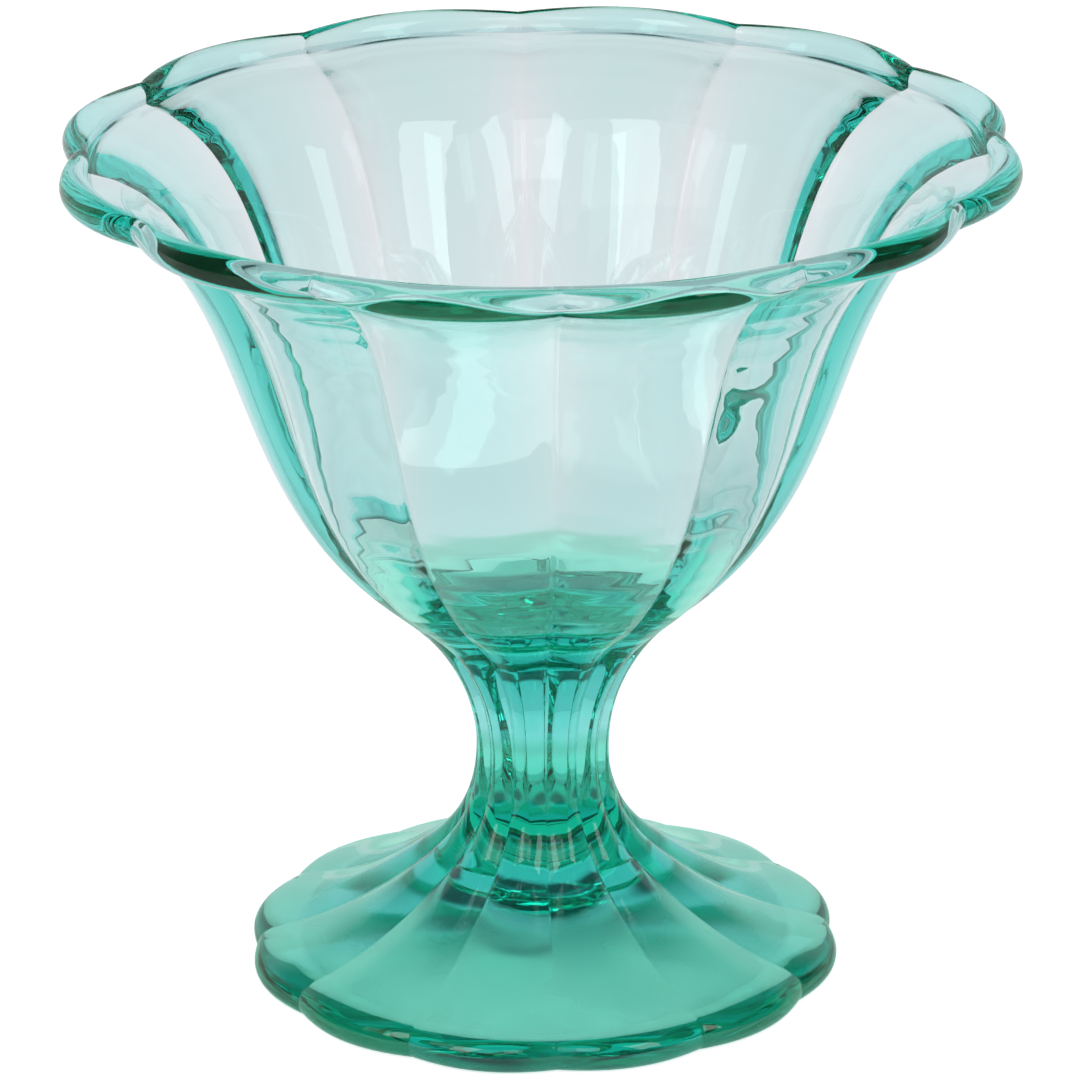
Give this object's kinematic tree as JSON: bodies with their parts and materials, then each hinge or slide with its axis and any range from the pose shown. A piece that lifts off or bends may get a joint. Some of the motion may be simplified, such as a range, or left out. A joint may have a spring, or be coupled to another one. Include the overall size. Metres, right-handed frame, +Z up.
{
  "type": "ice cream glass",
  "caption": "Footed dessert dish in pressed green glass: flared scalloped bowl with a beaded rim, waisted reeded stem and scalloped foot, for serving ice cream.",
  "frame": {"origin": "middle of the foot's resting ring, on the surface that the dish stands on", "axes": "+Z up along the dish's axis; a notch between two lobes faces -Y"},
  "size_m": [0.1174, 0.1174, 0.1094],
  "materials": {
    "green_glass": "clear pressed soda-lime glass, tinted blue-green in the mass, fire-polished"
  },
  "bodies": {
    "root": {"bowl": "green_glass", "stem": "green_glass", "foot": "green_glass"}
  },
  "joints": []
}
